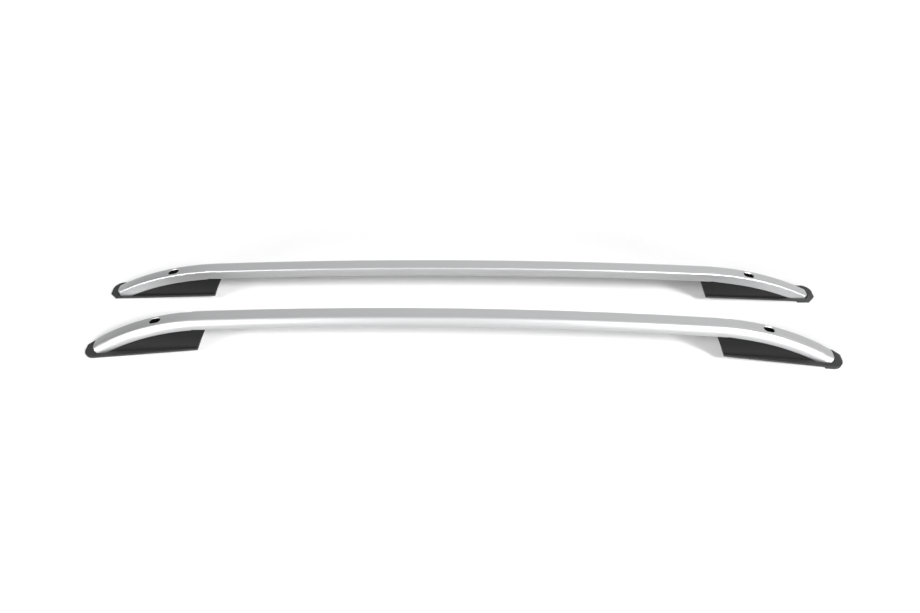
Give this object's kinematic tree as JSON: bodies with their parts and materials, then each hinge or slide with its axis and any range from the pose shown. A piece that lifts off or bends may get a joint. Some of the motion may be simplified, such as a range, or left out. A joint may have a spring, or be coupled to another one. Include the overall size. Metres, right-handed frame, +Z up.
{
  "type": "roof side rail pair",
  "caption": "Pair of arched aluminium roof side rails for a car, bent down at both ends onto black moulded feet with rubber base gaskets and screw access slots.",
  "frame": {"origin": "on the floor, below the middle of the pair", "axes": "+X along the rails towards their rear ends, -Y towards the left rail, +Z up"},
  "size_m": [1.7257, 0.2716, 0.1158],
  "materials": {
    "bar": "satin anodised",
    "foot": "moulded, fine satin",
    "insert": "moulded",
    "gasket": "matt",
    "screw": "zinc plated"
  },
  "bodies": {
    "root": {"left_bar": "bar", "left_front_foot": "foot", "left_front_insert": "insert", "left_front_gasket": "gasket", "left_front_foot_screw_1": "screw", "left_front_foot_screw_2": "screw", "left_rear_foot": "foot", "left_rear_insert": "insert", "left_rear_gasket": "gasket", "left_rear_foot_screw_1": "screw", "left_rear_foot_screw_2": "screw", "right_bar": "bar", "right_front_foot": "foot", "right_front_insert": "insert", "right_front_gasket": "gasket", "right_front_foot_screw_1": "screw", "right_front_foot_screw_2": "screw", "right_rear_foot": "foot", "right_rear_insert": "insert", "right_rear_gasket": "gasket", "right_rear_foot_screw_1": "screw", "right_rear_foot_screw_2": "screw"}
  },
  "joints": []
}
